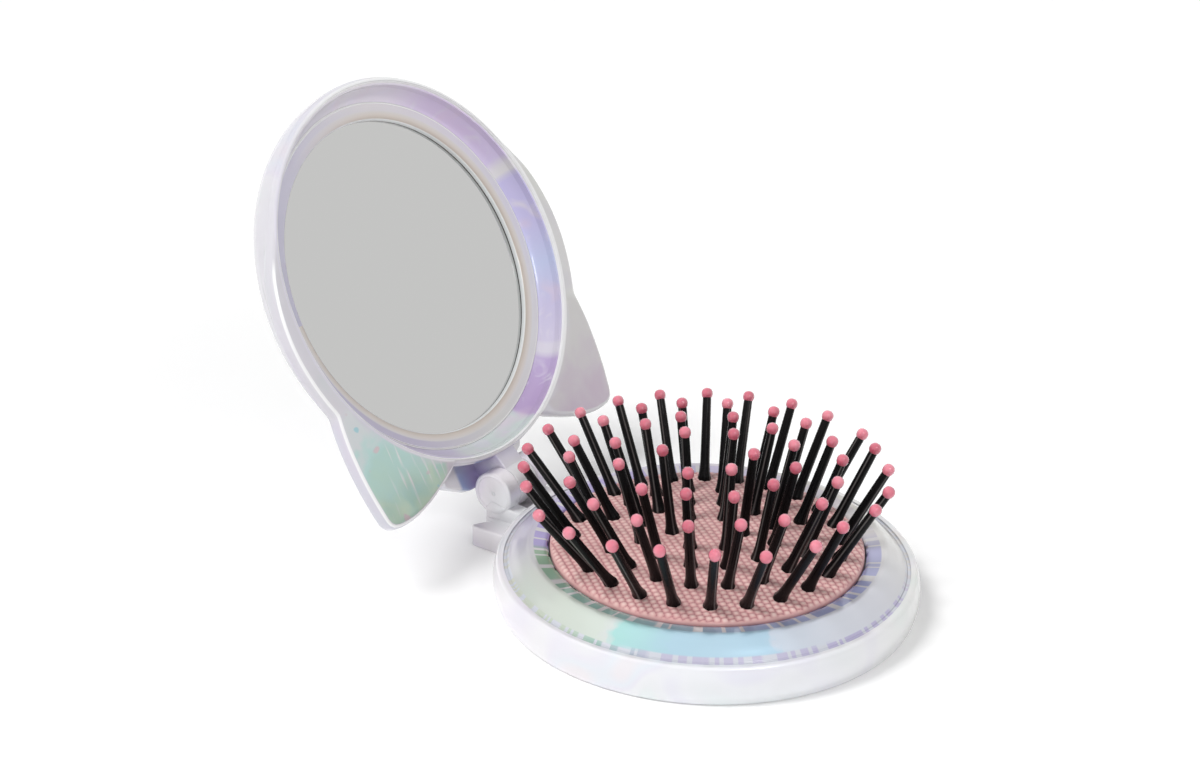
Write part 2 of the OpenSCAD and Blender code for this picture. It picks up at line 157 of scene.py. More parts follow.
def spin(bm, outline, steps, closed=True, matrix=None):
    """Turns an outline of (radius, height) points, in millimetres, round the Z axis."""
    verts = [bm.verts.new((p[0] * MM, 0, p[1] * MM)) for p in map(Vector, outline)]
    pairs = list(zip(verts, verts[1:]))
    if closed:
        pairs.append((verts[-1], verts[0]))
    edges = [bm.edges.new(pair) for pair in pairs]
    before = set(bm.verts) - set(verts)
    bmesh.ops.spin(bm, geom=verts + edges, cent=(0, 0, 0), axis=(0, 0, 1), dvec=(0, 0, 0),
                   angle=2 * math.pi, steps=steps, use_merge=True)
    made = [v for v in bm.verts if v not in before]
    if matrix is not None:
        bmesh.ops.transform(bm, matrix=matrix, verts=made)
    return made


def extruded(bm, outline, start, end, bevel, along="Z", segments=3):
    """A prism of this outline from start to end, in millimetres, with its edges bevelled. It runs
    along Z, or along X with the outline's points as (y, z)."""
    if along == "Z":
        verts = [bm.verts.new((p[0] * MM, p[1] * MM, start * MM)) for p in outline]
        shift = Vector((0, 0, (end - start) * MM))
    else:
        verts = [bm.verts.new((start * MM, p[0] * MM, p[1] * MM)) for p in outline]
        shift = Vector(((end - start) * MM, 0, 0))
    face = bm.faces.new(verts)
    grown = bmesh.ops.extrude_face_region(bm, geom=[face], use_keep_orig=True)
    moved = [g for g in grown["geom"] if isinstance(g, bmesh.types.BMVert)]
    bmesh.ops.translate(bm, vec=shift, verts=moved)
    made = verts + moved
    faces = {f for v in made for f in v.link_faces}
    bmesh.ops.recalc_face_normals(bm, faces=list(faces))
    edges = {e for v in made for e in v.link_edges if e.calc_face_angle(0) > math.radians(25)}
    bmesh.ops.bevel(bm, geom=list(edges), offset=bevel * MM, offset_type="OFFSET",
                    segments=segments, profile=0.5, affect="EDGES", clamp_overlap=True,
                    material=-1)


def knuckle_end(bm, side):
    """An outer knuckle: a barrel whose dished end has a raised rim and a notch in the middle."""
    outline = [(0, 6.2), (0.4, 6.22), (0.5, 6.5), (0.62, 6.56), (3.5, 6.56), (3.75, 6.62),
               (3.9, 6.8), (4.3, 6.8), (4.52, 6.72), (4.66, 6.55), (4.7, 6.3), (4.7, 3.35),
               (4.55, 3.2), (1.05, 3.2)]
    spin(bm, outline, HINGE_STEPS, closed=False, matrix=along_hinge(side))


def finish_piece(bm, name, material, body, nodes, slot, crease=32.0):
    """Closes a mesh, shades it smooth up to the crease angle and hangs it on its body."""
    bmesh.ops.remove_doubles(bm, verts=bm.verts, dist=2e-6)
    bmesh.ops.recalc_face_normals(bm, faces=bm.faces)
    for edge in bm.edges:
        edge.smooth = edge.calc_face_angle(0) < math.radians(crease)
    for face in bm.faces:
        face.smooth = True
    mesh = bpy.data.meshes.new(name)
    bm.to_mesh(mesh)
    bm.free()
    mesh.materials.append(material)
    piece = bpy.data.objects.new(name, mesh)
    bpy.context.scene.collection.objects.link(piece)
    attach(piece, body)
    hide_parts(*nodes)
    return piece


# ---- Helpers for materials ----

def colour(hex_value):
    """An sRGB hex value as linear red, green, blue and alpha."""
    channels = [int(hex_value[i:i + 2], 16) / 255 for i in (1, 3, 5)]
    linear = (c / 12.92 if c <= 0.04045 else ((c + 0.055) / 1.055) ** 2.4 for c in channels)
    return (*linear, 1.0)


def feed(tree, node, inputs):
    """Sets a node's sockets to values or hex colours, or links them from sockets or from nodes."""
    for key, value in inputs.items():
        if isinstance(value, str):
            value = colour(value)
        elif isinstance(value, bpy.types.Node):
            value = value.outputs[0]
        if isinstance(value, bpy.types.NodeSocket):
            tree.links.new(value, node.inputs[key])
        else:
            node.inputs[key].default_value = value


def add(tree, kind, inputs=None, stops=None, **settings):
    """Adds a shader node with its settings, its socket values or links, and a ramp's stops."""
    made = tree.nodes.new("ShaderNode" + kind)
    for key, value in settings.items():
        setattr(made, key, value)
    feed(tree, made, inputs or {})
    if stops:
        ramp = made.color_ramp
        while len(ramp.elements) > 1:
            ramp.elements.remove(ramp.elements[-1])
        ramp.elements[0].position = stops[0][0]
        ramp.elements[0].color = colour(stops[0][1])
        for position, value in stops[1:]:
            ramp.elements.new(position).color = colour(value)
    return made


def new_material(name, inputs):
    """A material with one shader, whose uniform values go straight on its own sockets."""
    material = bpy.data.materials.new(name)
    material.use_nodes = True
    tree = material.node_tree
    tree.nodes.clear()
    shader = add(tree, "BsdfPrincipled", inputs)
    add(tree, "OutputMaterial", {0: shader})
    return material, tree, shader


def place(tree, on_lid):
    """Object coordinates in millimetres, turned back to the shut lid for the lid's pieces."""
    coords = add(tree, "TexCoord").outputs["Object"]
    if on_lid:
        matrix = opened().inverted()
        coords = add(tree, "Mapping", {"Vector": coords, "Location": matrix.to_translation(),
                                       "Rotation": matrix.to_euler()})
    return add(tree, "VectorMath", {0: coords, "Scale": 1 / MM}, operation="SCALE")


def turn_share(tree, coords):
    """Where a point lies round the Z axis, from 0 at -180 degrees to 1 at +180."""
    split = add(tree, "SeparateXYZ", {0: coords})
    angle = add(tree, "Math", {0: split.outputs["Y"], 1: split.outputs["X"]}, operation="ARCTAN2")
    return add(tree, "MapRange", {"Value": angle, "From Min": -math.pi, "From Max": math.pi})


def cloud(tree, coords, size_mm, seed, detail=2.0, distortion=0.4):
    """Soft noise whose patches are about size_mm across."""
    moved = add(tree, "VectorMath", {0: coords, 1: (seed * 91.7, seed * 37.3, seed * 13.1)},
                operation="ADD")
    return add(tree, "TexNoise", {"Vector": moved, "Scale": 1 / size_mm, "Detail": detail,
                                  "Roughness": 0.5, "Distortion": distortion})


def layer(tree, under, over, value, low=0.0, high=1.0):
    """Lays one colour over another, from none where the value is low to all where it is high."""
    share = add(tree, "MapRange", {"Value": value, "From Min": low, "From Max": high})
    return add(tree, "Mix", {"Factor": share, 6: under, 7: over}, data_type="RGBA").outputs[2]


def by_turn(stops):
    """Ramp stops from pairs of (degrees, hex value)."""
    return [((degrees + 180) / 360, value) for degrees, value in stops]


def pearl_gloss(metal, rough):
    """The lacquered pearl finish: bright flakes under a clear, hard, thin skin."""
    return {"Metallic": metal, "Roughness": rough, "IOR": 1.53, "Coat Weight": 0.8,
            "Coat Roughness": 0.06, "Coat IOR": 1.5}


def mould_ripple(tree, coords):
    """Very shallow waves that moulded plastic keeps, 6 mm from crest to crest."""
    ripple = add(tree, "TexNoise", {"Vector": coords, "Scale": 1 / 6.0, "Detail": 1.0})
    return add(tree, "Bump", {"Height": ripple, "Strength": 0.05, "Distance": 0.00025})


def pearl_clouds(tree, coords, seed):
    """White pearl that drifts to lilac, mint, sky and rose in patches about 20 mm across."""
    return add(tree, "ValToRGB", {"Fac": cloud(tree, coords, 20, seed, 1.0, 0.8)}, stops=[
        (0.28, "#DCE9E3"), (0.40, "#E9EAE9"), (0.50, "#EDECEE"), (0.58, "#E2DDEC"),
        (0.68, "#DEE5F0"), (0.78, "#ECE1E6")])


def from_axis(tree, coords):
    """How far a point lies from the Z axis, in millimetres."""
    flat = add(tree, "VectorMath", {0: coords, 1: (1, 1, 0)}, operation="MULTIPLY")
    return add(tree, "VectorMath", {0: flat}, operation="LENGTH").outputs["Value"]


def blocks_along(tree, turn, per_turn):
    """Uneven blocks along the turn, each as a value that rises from 0 to 1."""
    along = add(tree, "Math", {0: turn, 1: per_turn}, operation="MULTIPLY")
    noise = add(tree, "TexNoise", {"W": along, "Scale": 0.45, "Detail": 1.0}, noise_dimensions="1D")
    uneven = add(tree, "Math", {0: noise, 1: 3.0, 2: along}, operation="MULTIPLY_ADD")
    return add(tree, "Math", {0: uneven}, operation="FRACT")


# Tints round the Z axis, in degrees, of the lid and the base: partly the pearl's own drift in tint
# and partly painted shade. The lid's -X side is painted darker lilac-grey, the base goes darker and
# warmer towards +X, and round its foot by the hinge it is painted paler against the shade of the
# open lid.
LID_TINT_AND_SHADE = ((-180, "#CFCAD8"), (-120, "#D0CDD7"), (-90, "#D6D4D8"), (-50, "#D1D1CE"),
            (-10, "#CBCBC5"), (25, "#D2D2CE"), (60, "#D6D5D6"), (90, "#D4D2D5"), (130, "#D2CED8"),
            (180, "#CFCAD8"))
BASE_TINT_AND_SHADE = ((-180, "#EFF0F3"), (-150, "#EEF1F7"), (-115, "#EBEDF3"), (-85, "#EAEAEA"),
             (-50, "#E5E4DF"), (0, "#E1E0DE"), (80, "#EFE8F0"), (125, "#F1EAF1"), (160, "#EFEDF1"),
             (180, "#EFF0F3"))


def pearl_case_plastic(name, on_lid):
    """Injection-moulded ABS with pearl pigment under a clear lacquer: it looks milky white, drifts
    in tint across the part, and mirrors what stands near it at a glancing view.
    Its tint round the Z axis also carries painted shade, and the lid has painted highlights on its
    rim and on the front edges of its ears and cheeks, and painted shade in the recess by the hinge.
    The ears carry a thicker film, mint on one side and rose on the other, with faint flow lines."""
    material, tree, shader = new_material(name, pearl_gloss(0.2, 0.3))
    coords = place(tree, on_lid)
    turn = turn_share(tree, coords)
    # Tint round the Z axis, with painted shade in it.
    round_tint_and_shade = add(tree, "ValToRGB", {"Fac": turn},
                     stops=by_turn(LID_TINT_AND_SHADE if on_lid else BASE_TINT_AND_SHADE))
    tint = layer(tree, round_tint_and_shade, pearl_clouds(tree, coords, 1.0 if on_lid else 2.0), 0.4)
    if on_lid:
        split = add(tree, "SeparateXYZ", {0: coords})
        drift = add(tree, "MapRange", {"Value": cloud(tree, coords, 7, 9.0), "To Min": -15,
                                       "To Max": 15})
        drift = add(tree, "Math", {0: split.outputs["Y"], 1: drift}, operation="ADD")
        back = add(tree, "MapRange", {"Value": drift, "From Min": 16, "From Max": 44})
        mint = add(tree, "ValToRGB", {"Fac": back}, stops=[
            (0.0, "#DCDEE2"), (0.25, "#D8DFE1"), (0.42, "#BEE0DC"), (0.6, "#B8DCD5"),
            (0.78, "#BADCCF"), (1.0, "#CDE2CC")])
        rose = add(tree, "ValToRGB", {"Fac": back}, stops=[
            (0.0, "#D3D2D0"), (0.4, "#D2CFD0"), (0.7, "#CEC5CE"),
            (1.0, "#CABBCA")])
        turned = add(tree, "Mapping", {"Vector": coords, "Rotation": (0, 0, math.radians(-38)),
                                       "Scale": (1 / 1.1, 1 / 11.0, 1 / 11.0)})
        lines = add(tree, "TexNoise", {"Vector": turned, "Scale": 1.0, "Detail": 1.0})
        ears = layer(tree, mint, "#E2E9E8", lines, 0.62, 0.74)
        spots = cloud(tree, coords, 3.0, 12.0, 0.0, 0.0)
        ears = layer(tree, ears, "#D8C9CD", spots, 0.77, 0.83)
        ears = layer(tree, ears, "#A9D3DC", spots, 0.23, 0.18)
        ears = layer(tree, ears, rose, split.outputs["X"], -6, 6)
        # Painted highlight: the rim's face inside 41 mm and below 9.4 mm is painted white,
        # brightest from x = -8 mm on and greyer towards -32 mm.
        white = layer(tree, "#DFDCE7", "#F4F4F5", split.outputs["X"], -32, -8)
        rim = layer(tree, tint, white, from_axis(tree, coords), 41.0, 40.8)
        tint = layer(tree, tint, rim, split.outputs["Z"], 9.4, 9.1)
        mask = add(tree, "Attribute", attribute_name="ear_face")
        tint = layer(tree, tint, ears, mask.outputs["Fac"])
        # Painted highlight: the rounded front edge of the ears and cheeks is painted near white, on
        # the -X side only.
        edge = add(tree, "Attribute", attribute_name="edge_highlight")
        lit = layer(tree, tint, "#FAFAFB", edge.outputs["Fac"], 0.7, 0.95)
        tint = layer(tree, tint, lit, split.outputs["X"], 8, -8)
        # Painted shade: the recess between the lid's rim and the knuckle is painted deep
        # blue-violet within 8.6 mm of the middle, and near white beyond 9.4 mm as the lit end of
        # the hood.
        shade = add(tree, "Attribute", attribute_name="hinge_recess_shade")
        deep = layer(tree, "#9BA9CF", "#ABA0CA", split.outputs["X"], -8, -5)
        aside = add(tree, "Math", {0: split.outputs["X"]}, operation="ABSOLUTE")
        deep = layer(tree, "#E9E8EA", deep, aside, 9.4, 8.6)
        tint = layer(tree, tint, deep, shade.outputs["Fac"])
    feed(tree, shader, {"Base Color": tint, "Normal": mould_ripple(tree, coords)})
    return material


def pearl_liner_plastic():
    """The dished liner of the lid, moulded from the same pearl ABS: its bowl carries painted
    reflections, blocks of lilac, violet, sky and mint with crisp ends round the turn, and its edge
    is painted white as a highlight."""
    material, tree, shader = new_material("pearl_abs_liner", pearl_gloss(0.15, 0.42))
    coords = place(tree, True)
    turn = turn_share(tree, coords)
    # Painted reflection: blocks of colour round the turn stand in for what the glossy bowl
    # reflects.
    blocks = add(tree, "ValToRGB", {"Fac": turn}, stops=by_turn([
        (-180, "#D6D3E0"), (-120, "#DAD7E0"), (-90, "#E2DEE6"), (-70, "#E2DAE9"), (-56, "#DCCDEB"),
        (-40, "#DBCBEC"), (-24, "#D9CBEE"), (-20.5, "#E6E4E8"), (-17.5, "#E6E4E8"),
        (-16.5, "#CCC5EF"), (0, "#CCC6EF"), (14, "#C8D0F2"), (28, "#CFC9E9"), (41, "#D7D0E8"),
        (42, "#DFDBEA"), (46, "#DFDBE8"), (47, "#C2AEDA"), (60, "#BEA6D2"), (71, "#BBA2CF"),
        (72, "#D3DFDD"), (88, "#D3DEDC"), (101, "#D4D9DA"), (106, "#C9C2D8"), (125, "#C8C0D6"),
        (150, "#D1CCDC"), (180, "#D6D3E0")]))
    veil = cloud(tree, coords, 6, 5.0, 2.0, 1.2)
    tint = layer(tree, blocks, "#E2DDEC", veil, 0.55, 0.8)
    tint = layer(tree, tint, "#E2CFE2", cloud(tree, coords, 9, 11.0), 0.6, 0.9)
    # Painted highlight: past 39.9 mm the liner's edge is painted white.
    tint = layer(tree, tint, "#F8F8F9", from_axis(tree, coords), 39.9, 40.0)
    feed(tree, shader, {"Base Color": tint, "Normal": mould_ripple(tree, coords)})
    return material


def pearl_bezel_plastic():
    """The bezel round the brush pad, in the same pearl ABS, with painted reflections: mint and sky
    stand as a block on the front of the band, the slope beside the pad is deeper in tint with pale
    gaps, a painted reflection of the bristles, and the groove outside the band holds short violet
    dashes, painted reflections of the bristles too."""
    material, tree, shader = new_material("pearl_abs_bezel", pearl_gloss(0.2, 0.3))
    coords = place(tree, False)
    turn = turn_share(tree, coords)
    # Painted reflection: colour blocks round the turn, with ragged ends, stand in for what the
    # glossy band reflects; mint and sky at the front.
    uneven = cloud(tree, coords, 2.5, 14.0, 2.0, 0.0)
    wavy = add(tree, "MapRange", {"Value": uneven, "From Min": 0.3, "From Max": 0.7,
                                  "To Min": -0.004, "To Max": 0.004})
    ragged = add(tree, "Math", {0: turn, 1: wavy}, operation="ADD")
    band = add(tree, "ValToRGB", {"Fac": ragged}, stops=by_turn([
        (-180, "#CBD4CC"), (-176.4, "#CDD3D2"), (-175.2, "#A3D4D0"), (-166, "#A8D2D6"),
        (-158, "#ADCEDE"), (-145, "#B0CFE0"), (-129.6, "#AFCFE2"), (-128, "#C8D3E0"),
        (-110, "#D0D4DE"), (-85, "#D3D4DC"), (-60, "#D4D3D3"), (-30, "#D5D2CB"), (0, "#D4D0CC"),
        (60, "#C8C3D8"), (100, "#BFB6D6"), (122, "#C9C5D0"), (145, "#CCCFC9"), (165, "#CBD3C9"),
        (180, "#CBD4CC")]))
    # Painted reflection of the bristles on the slope beside the pad, deeper in tint, with pale gaps
    # between them.
    slope = add(tree, "ValToRGB", {"Fac": turn}, stops=by_turn([
        (-180, "#8FAFA9"), (-165, "#92B0B9"), (-150, "#97AFC1"), (-135, "#98A9C9"),
        (-110, "#9BA3C8"), (-80, "#9DA2CC"), (-58, "#A8A8CC"), (-44, "#CCC7C2"), (0, "#C6BFCB"),
        (60, "#B0A5D2"), (100, "#A598CF"), (127, "#A598D0"), (129, "#8BA98C"), (145, "#8CAB93"),
        (165, "#8CADA2"), (180, "#8FAFA9")]))
    slope = layer(tree, slope, "#D0CDCF", blocks_along(tree, turn, 54), 0.72, 0.76)
    # Painted reflection of the bristles in the groove: short violet dashes with pale gaps.
    groove_reflection = add(tree, "ValToRGB", {"Fac": turn}, stops=by_turn([
        (-180, "#9DBDB3"), (-172, "#A9BAC4"), (-162, "#BFBCD2"), (-130, "#C0BCD4"),
        (-110, "#B7B1D2"), (-80, "#BDB7D6"), (-60, "#D5D2CF"), (100, "#CDC9D8"), (140, "#CDCEC2"),
        (170, "#BFCCBC"), (180, "#9DBDB3")]))
    groove_reflection = layer(tree, groove_reflection, "#CED1DA", blocks_along(tree, turn, 84), 0.5, 0.6)
    radius = from_axis(tree, coords)
    tint = layer(tree, band, slope, radius, 34.5, 34.3)
    wide = layer(tree, tint, groove_reflection, radius, 38.75, 39.0)
    narrow = layer(tree, tint, groove_reflection, radius, 39.15, 39.3)
    # The painted dashes lie in a wider strip between -165 and -122 degrees.
    near = add(tree, "ValToRGB", {"Fac": turn}, stops=by_turn([
        (-174, "#000000"), (-165, "#FFFFFF"), (-122, "#FFFFFF"), (-110, "#000000")]))
    tint = layer(tree, narrow, wide, near)
    feed(tree, shader, {"Base Color": tint, "Normal": mould_ripple(tree, coords)})
    return material


def cream_ring_plastic():
    """The mirror's ring, moulded ABS in a warm pearl white, polished: cream on its inner lip beside
    a white strip painted there as a highlight, a white line painted on its outer edge as a
    highlight, painted shade in lilac-grey towards its -X side, and a painted shadow, near black, in
    the hairline where the glass goes under it."""
    material, tree, shader = new_material("cream_abs_ring", pearl_gloss(0.15, 0.3))
    coords = place(tree, True)
    radius = from_axis(tree, coords)
    turn = turn_share(tree, coords)
    # Painted shade: darker lilac-grey round the -X side.
    round_tint_and_shade = add(tree, "ValToRGB", {"Fac": turn}, stops=by_turn([
        (-180, "#C3C0D6"), (-120, "#CFCCDC"), (-80, "#E0DCDF"), (-40, "#DFDAE4"), (0, "#DEDBE5"),
        (40, "#E0DFE2"), (80, "#DAD9D7"), (120, "#C4BED4"), (180, "#C3C0D6")]))
    # Painted highlight: the white strip at the inner lip, next to the cream. These stripes are left
    # out between -180 and about -100 degrees, where only the round tint stays.
    across = add(tree, "MapRange", {"Value": radius, "From Min": 33.5, "From Max": 35.5})
    face = add(tree, "ValToRGB", {"Fac": across}, stops=[
        (0.0, "#EDF2F2"), (0.14, "#EEF0EF"), (0.2, "#BDB0A6"), (0.34, "#CFC4BA"), (0.6, "#DCD4CD"),
        (1.0, "#DFDCDD")])
    lit = layer(tree, round_tint_and_shade, face, turn, 0.15, 0.28)
    tint = layer(tree, round_tint_and_shade, lit, radius, 35.6, 35.3)
    # Painted highlight: a white line on the ring's outer edge.
    tint = layer(tree, tint, "#FAFAFA", radius, 36.8, 36.9)
    # Painted shadow: the ring's wall deeper than 14.93 mm, round the glass's edge, is painted near
    # black as the shade in the hairline gap.
    deep = add(tree, "SeparateXYZ", {0: coords}).outputs["Z"]
    tint = layer(tree, tint, "#2E2B29", deep, 14.88, 14.93)
    feed(tree, shader, {"Base Color": tint})
    return material


def silvered_glass():
    """A float-glass mirror: silver under clear glass, flat and colourless, a little grey."""
    material, tree, shader = new_material("silvered_glass",
                                          {"Base Color": "#C4C4C3", "Metallic": 1.0})
    haze = cloud(tree, place(tree, True), 8, 7.0)
    rough = add(tree, "MapRange", {"Value": haze, "From Min": 0.3, "From Max": 0.7,
                                   "To Min": 0.015, "To Max": 0.03})
    feed(tree, shader, {"Roughness": rough})
    return material


def woven_pink_rubber():
    """Moulded natural rubber with a basket weave pressed into its skin, each cell 1.35 mm: the tops
    of the cells are painted lighter and the lines between them darker, painted light and shade over
    the relief."""
    material, tree, shader = new_material("woven_pink_rubber", {
        "Roughness": 0.55, "IOR": 1.52, "Sheen Weight": 0.15})
    coords = place(tree, False)
    weave = add(tree, "Attribute", attribute_name="weave").outputs["Fac"]
    # Painted light and shade: cell tops lighter, the lines between them darker.
    skin = add(tree, "ValToRGB", {"Fac": weave}, stops=[
        (0.0, "#A3666A"), (0.3, "#CB9193"), (0.6, "#E4B5B1"),
        (1.0, "#F5D6D0")])
    patches = cloud(tree, coords, 7, 4.0)
    tint = layer(tree, skin, "#D09496", patches, 0.45, 1.6)
    low = add(tree, "SeparateXYZ", {0: coords}).outputs["Z"]
    tint = layer(tree, tint, "#C08A90", low, 10.9, 10.3)
    grain = add(tree, "TexNoise", {"Vector": coords, "Scale": 1 / 0.25, "Detail": 2.0})
    bump = add(tree, "Bump", {"Height": grain, "Strength": 0.25, "Distance": 0.00006})
    feed(tree, shader, {"Base Color": tint, "Normal": bump})
    return material


def black_nylon():
    """Injection-moulded nylon 6, dyed black: satin, and along each shaft two fine grey lines are
    painted as a highlight."""
    material, tree, shader = new_material("black_nylon", {
        "Roughness": 0.25, "IOR": 1.53, "Specular IOR Level": 0.13})
    coords = place(tree, False)
    flow = add(tree, "VectorMath", {0: coords, 1: (1, 1, 0.08)}, operation="MULTIPLY")
    lines = add(tree, "TexNoise", {"Vector": flow, "Scale": 1 / 0.5, "Detail": 2.0})
    tint = layer(tree, "#050405", "#121011", lines)
    # Painted highlight: two thin grey lines along each shaft.
    shaft_highlight = add(tree, "Attribute", attribute_name="shaft_highlight")
    tint = layer(tree, tint, "#625E5D", shaft_highlight.outputs["Fac"], 0.5, 1.0)
    bump = add(tree, "Bump", {"Height": lines, "Strength": 0.35, "Distance": 0.00008})
    feed(tree, shader, {"Base Color": tint, "Normal": bump})
    return material


def pink_ball_resin():
    """Dipped epoxy ball tips: opaque pink drops with a wet gloss, each a slightly other pink."""
    material, tree, shader = new_material("pink_tip_resin", {
        "Roughness": 0.22, "IOR": 1.55, "Coat Weight": 1.0, "Subsurface Weight": 0.1,
        "Subsurface Scale": 0.0008})
    drift = cloud(tree, place(tree, False), 5, 8.0, 0.0, 0.0)
    tint = add(tree, "ValToRGB", {"Fac": drift}, stops=[
        (0.3, "#CF5F75"), (0.5, "#E2758A"), (0.7, "#EC8A9B")])
    feed(tree, shader, {"Base Color": tint})
    return material


def plain_polymer(name, low, high, rough, size_mm, depth_mm):
    """Hidden and underside polymers: mould-grained plastic, open-cell foam and foam tape."""
    material, tree, shader = new_material(name, {"Roughness": rough})
    grain = cloud(tree, place(tree, False), size_mm, 6.0, 3.0)
    bump = add(tree, "Bump", {"Height": grain, "Strength": 0.5, "Distance": depth_mm * MM})
    feed(tree, shader, {"Base Color": layer(tree, low, high, grain), "Normal": bump})
    return material


def turned_steel():
    """Plated steel wire, cut and tumbled: bright, with a fine uneven grain 0.3 mm across."""
    material, tree, shader = new_material("turned_steel",
                                          {"Base Color": "#C9C9CC", "Metallic": 1.0})
    grain = add(tree, "TexNoise", {"Vector": place(tree, False), "Scale": 1 / 0.3, "Detail": 2.0})
    rough = add(tree, "MapRange", {"Value": grain, "To Min": 0.22, "To Max": 0.4})
    feed(tree, shader, {"Roughness": rough})
    return material


# ---- Settings ----

class HairbrushCase(PropertyGroup):
    wall_steps: IntProperty(
        name="Wall steps", description="Facets round the case's walls", default=256, min=96)
    ear_out: FloatProperty(
        name="Ear reach", description="How far the middle of each ear's tip stands out",
        default=12.2 * MM, unit="LENGTH")
    cheek: FloatProperty(
        name="Cheek", description="How far the cheeks beside the ears stand out",
        default=2.75 * MM, unit="LENGTH")


class HairbrushPad(PropertyGroup):
    cell: FloatProperty(
        name="Weave cell", description="Size of one cell of the weave", default=1.35 * MM,
        unit="LENGTH")
    relief: FloatProperty(
        name="Weave relief", description="Height of the weave's cells", default=0.2 * MM,
        unit="LENGTH")
    unevenness: FloatProperty(
        name="Unevenness", description="Most that a bristle leans off its line",
        default=math.radians(3.0), subtype="ANGLE")
    seed: IntProperty(
        name="Seed", description="Start of the random draws for the bristles", default=11)


class HairbrushStage(PropertyGroup):
    floor_colour: FloatVectorProperty(
        name="Floor colour", description="Colour of the floor", size=4, subtype="COLOR",
        default=colour("#F7F7F7"), min=0, max=1)
    world_strength: FloatProperty(
        name="World light", description="Strength of the even light", default=0.32,
        subtype="FACTOR")
    lamp_strength: FloatProperty(
        name="Lamp strength", description="Strength of the overhead soft lamp", default=2.0)
    floor_lift: FloatProperty(
        name="Floor lift", description="Light that the floor adds to its own white",
        default=0.12, subtype="FACTOR")


# ---- Pieces ----

def base_side(z0, z1, count):
    """The base's bulging side, between two heights."""
    return [Vector((CASE_R - 0.6 * ((z - 4.0) / 3.2) ** 2, z))
            for z in (mix(z0, z1, i / count) for i in range(count + 1))]


def arc(cx, cy, radius, start, end, count):
    return [Vector((cx, cy)) + polar(radius, mix(start, end, i / count)) for i in range(count + 1)]


class HAIRBRUSH_OT_base_case(Operator):
    """Makes the lower case with its foot and the two outer knuckles"""
    bl_idname = "hairbrush.base_case"
    bl_label = "Base case"

    def execute(self, context):
        sizes = context.scene.hairbrush_case
        bm = bmesh.new()
        edge_in = 41.1
        outline = [(20.0, 0.3), (20.3, 0.0)]
        outline += arc(edge_in, 0.8, 0.8, -90, -8, 6)
        outline += base_side(0.95, 7.05, 18)
        outline += arc(edge_in, 7.2, 0.8, 8, 90, 6)
        outline += rounded([(40.6, 8.0, 0.2), (40.6, 6.0, 0), (39.4, 6.0, 0), (39.4, 1.5, 0),
                            (34.7, 1.5, 0), (34.7, 8.9, 0.1), (33.3, 8.9, 0.1), (33.3, 1.5, 0),
                            (20.0, 1.5, 0.2)], 3)
        spin(bm, outline, sizes.wall_steps)
        foot = [(6.8, 50.0), (7.4, 47.6), (11.4, 50.0), (12.0, 49.4), (12.0, 38.5)]
        foot += [(-x, y) for x, y in reversed(foot)]
        extruded(bm, foot, 0.02, 4.8, bevel=0.9, segments=4)
        for side, x0, x1 in ((-1, -6.8, -3.2), (1, 3.2, 6.8)):
            knuckle_end(bm, side)
            neck = [(40.0, 4.0), (49.9, 4.0), (49.9, 6.8), (48.6, 8.6), (44.9, 8.0), (40.0, 7.5)]
            extruded(bm, neck, x0 + 0.05, x1 - 0.05, along="X", bevel=0.3)
        finish_piece(bm, "base_case", pearl_case_plastic("pearl_abs_base", False), "base",
                     ["base_shell"], "pearl_plastic")
        return {"FINISHED"}


class HAIRBRUSH_OT_bezel(Operator):
    """Makes the bezel: its band, its ridge and the slope beside the pad"""
    bl_idname = "hairbrush.bezel"
    bl_label = "Bezel"

    def execute(self, context):
        sizes = context.scene.hairbrush_case
        bm = bmesh.new()
        outline = rounded([(31.5, 8.9, 0), (31.5, 10.75, 0.3)], 4)
        outline += bezier([(32.0, 10.83), (33.2, 10.95), (34.2, 11.12), (34.9, 11.26)], 6)
        outline += bezier([(35.1, 11.3), (35.7, 11.3), (36.3, 10.7), (37.0, 10.2)], 8)[1:]
        outline += bezier([(37.0, 10.2), (38.0, 9.5), (38.6, 8.7), (39.35, 8.2)], 8)[1:]
        outline += rounded([(39.6, 8.05, 0.15), (39.75, 7.72, 0.12), (40.58, 7.72, 0.1),
                            (40.58, 6.0, 0), (38.2, 6.0, 0), (38.2, 7.6, 0), (36.5, 8.6, 0),
                            (35.4, 8.9, 0)], 3)
        spin(bm, outline, sizes.wall_steps)
        finish_piece(bm, "base_bezel_ring", pearl_bezel_plastic(), "base", ["base_bezel"],
                     "lilac_plastic")
        return {"FINISHED"}


class HAIRBRUSH_OT_hinge_pin(Operator):
    """Makes the hinge's steel pin with rounded ends"""
    bl_idname = "hairbrush.hinge_pin"
    bl_label = "Hinge pin"

    def execute(self, context):
        bm = bmesh.new()
        outline = [(0, -6.4), (0.6, -6.4)] + arc(0.75, -6.15, 0.25, -90, 0, 4)
        outline += arc(0.75, 6.15, 0.25, 0, 90, 4) + [(0.6, 6.4), (0, 6.4)]
        spin(bm, outline, 32, closed=False, matrix=along_hinge())
        finish_piece(bm, "pivot_pin", turned_steel(), "base", ["hinge_pin"], "pin_steel")
        return {"FINISHED"}


